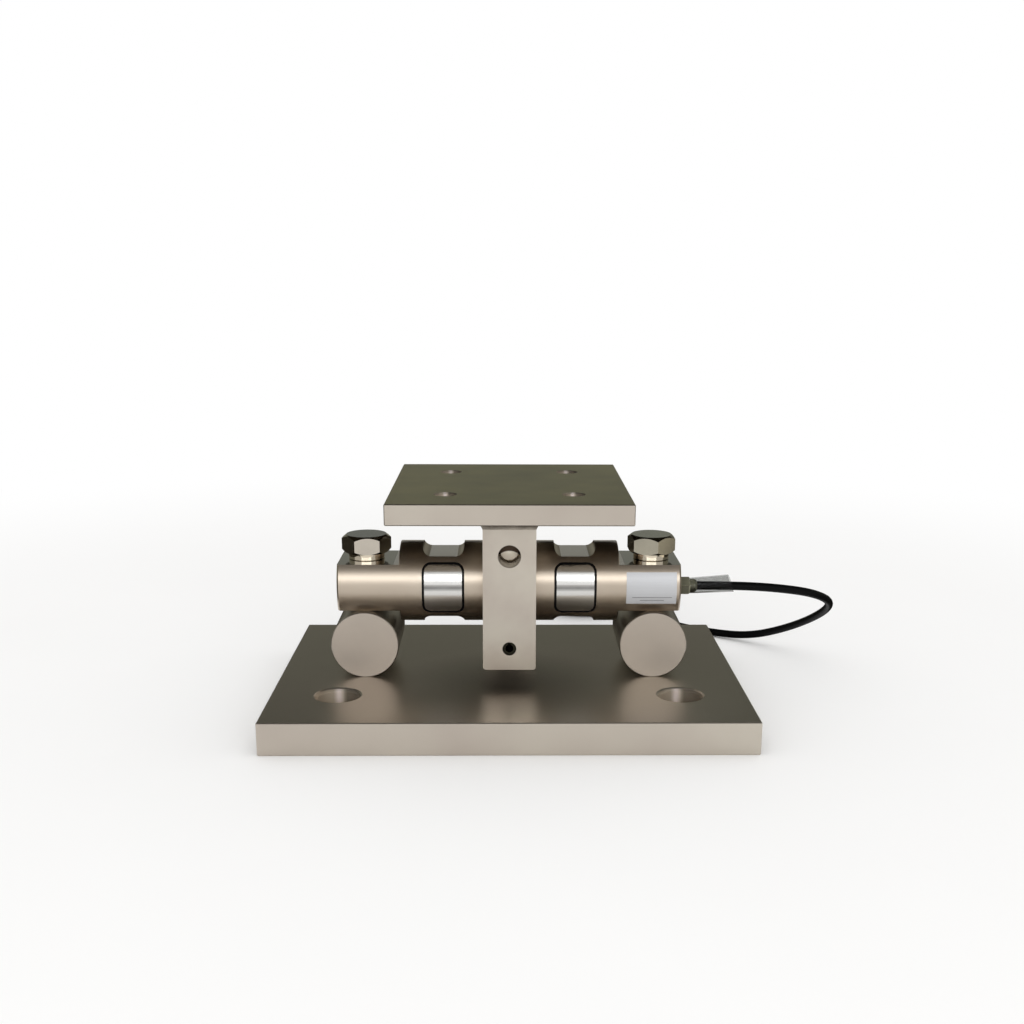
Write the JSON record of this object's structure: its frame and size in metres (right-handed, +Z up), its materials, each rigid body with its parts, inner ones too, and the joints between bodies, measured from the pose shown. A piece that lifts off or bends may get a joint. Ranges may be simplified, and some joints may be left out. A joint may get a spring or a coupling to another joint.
{
  "type": "tank weighing module",
  "caption": "Tank weighing module: a round double-ended shear beam on a drilled base plate carries a drilled top plate through a yoke and load pin, with a trailing cable.",
  "frame": {"origin": "middle of the base plate's underside", "axes": "+Z up; +X along the load cell towards its cable gland; +Y away from the face with the rating plate"},
  "size_m": [0.403, 0.4285, 0.1546],
  "materials": {
    "nickel_plate": "nickel-plated steel, satin, with milling grain",
    "cell_steel": "turned and nickel-plated, smooth warm sheen",
    "cover_steel": "bright rolled stainless steel",
    "seal_compound": "black sealing bead, satin",
    "bolt_steel": "plated bolt, satin",
    "collar_steel": "bright plated",
    "pin_steel": "hardened and ground",
    "weld_metal": "plated weld bead, rough",
    "label_foil": "matte silver foil, blank",
    "gland_brass": "nickel-plated brass, satin",
    "clear_sleeve": "clear flexible tube",
    "cable_sheath": "black cable sheath, semi-matte",
    "tie_plastic": "black nylon strap",
    "copper": "bare drawn copper",
    "board_laminate": "coated circuit laminate",
    "gauge_foil": "amber polyimide foil",
    "wire_enamel": "insulated hair wires in a bundle",
    "grommet_rubber": "black sealing rubber"
  },
  "bodies": {
    "root": {"base_plate": "nickel_plate", "support_bar_left": "nickel_plate", "support_bar_right": "nickel_plate", "load_cell_body": "cell_steel", "gauge_cover_front_left": "cover_steel", "gauge_cover_front_right": "cover_steel", "gauge_cover_rear_left": "cover_steel", "gauge_cover_rear_right": "cover_steel", "cover_seal_front_left": "seal_compound", "cover_seal_front_right": "seal_compound", "cover_seal_rear_left": "seal_compound", "cover_seal_rear_right": "seal_compound", "strain_gauge_front_left": "gauge_foil", "strain_gauge_front_right": "gauge_foil", "strain_gauge_rear_left": "gauge_foil", "strain_gauge_rear_right": "gauge_foil", "bridge_board": "board_laminate", "wire_bundle_left": "wire_enamel", "wire_bundle_right": "wire_enamel", "hold_down_bolt_left": "bolt_steel", "hold_down_bolt_right": "bolt_steel", "bolt_collar_left": "collar_steel", "bolt_collar_right": "collar_steel", "load_pin": "pin_steel", "yoke": "nickel_plate", "lift_stop_pin": "pin_steel", "top_plate": "nickel_plate", "yoke_weld": "weld_metal", "rating_plate": "label_foil", "gland_body": "gland_brass", "gland_grommet": "grommet_rubber", "inner_cable": "cable_sheath", "gland_sleeve": "clear_sleeve", "cable_run": "cable_sheath", "cable_coil": "cable_sheath", "coil_tie_1": "tie_plastic", "coil_tie_2": "tie_plastic", "conductor_ends": "copper"}
  },
  "joints": []
}
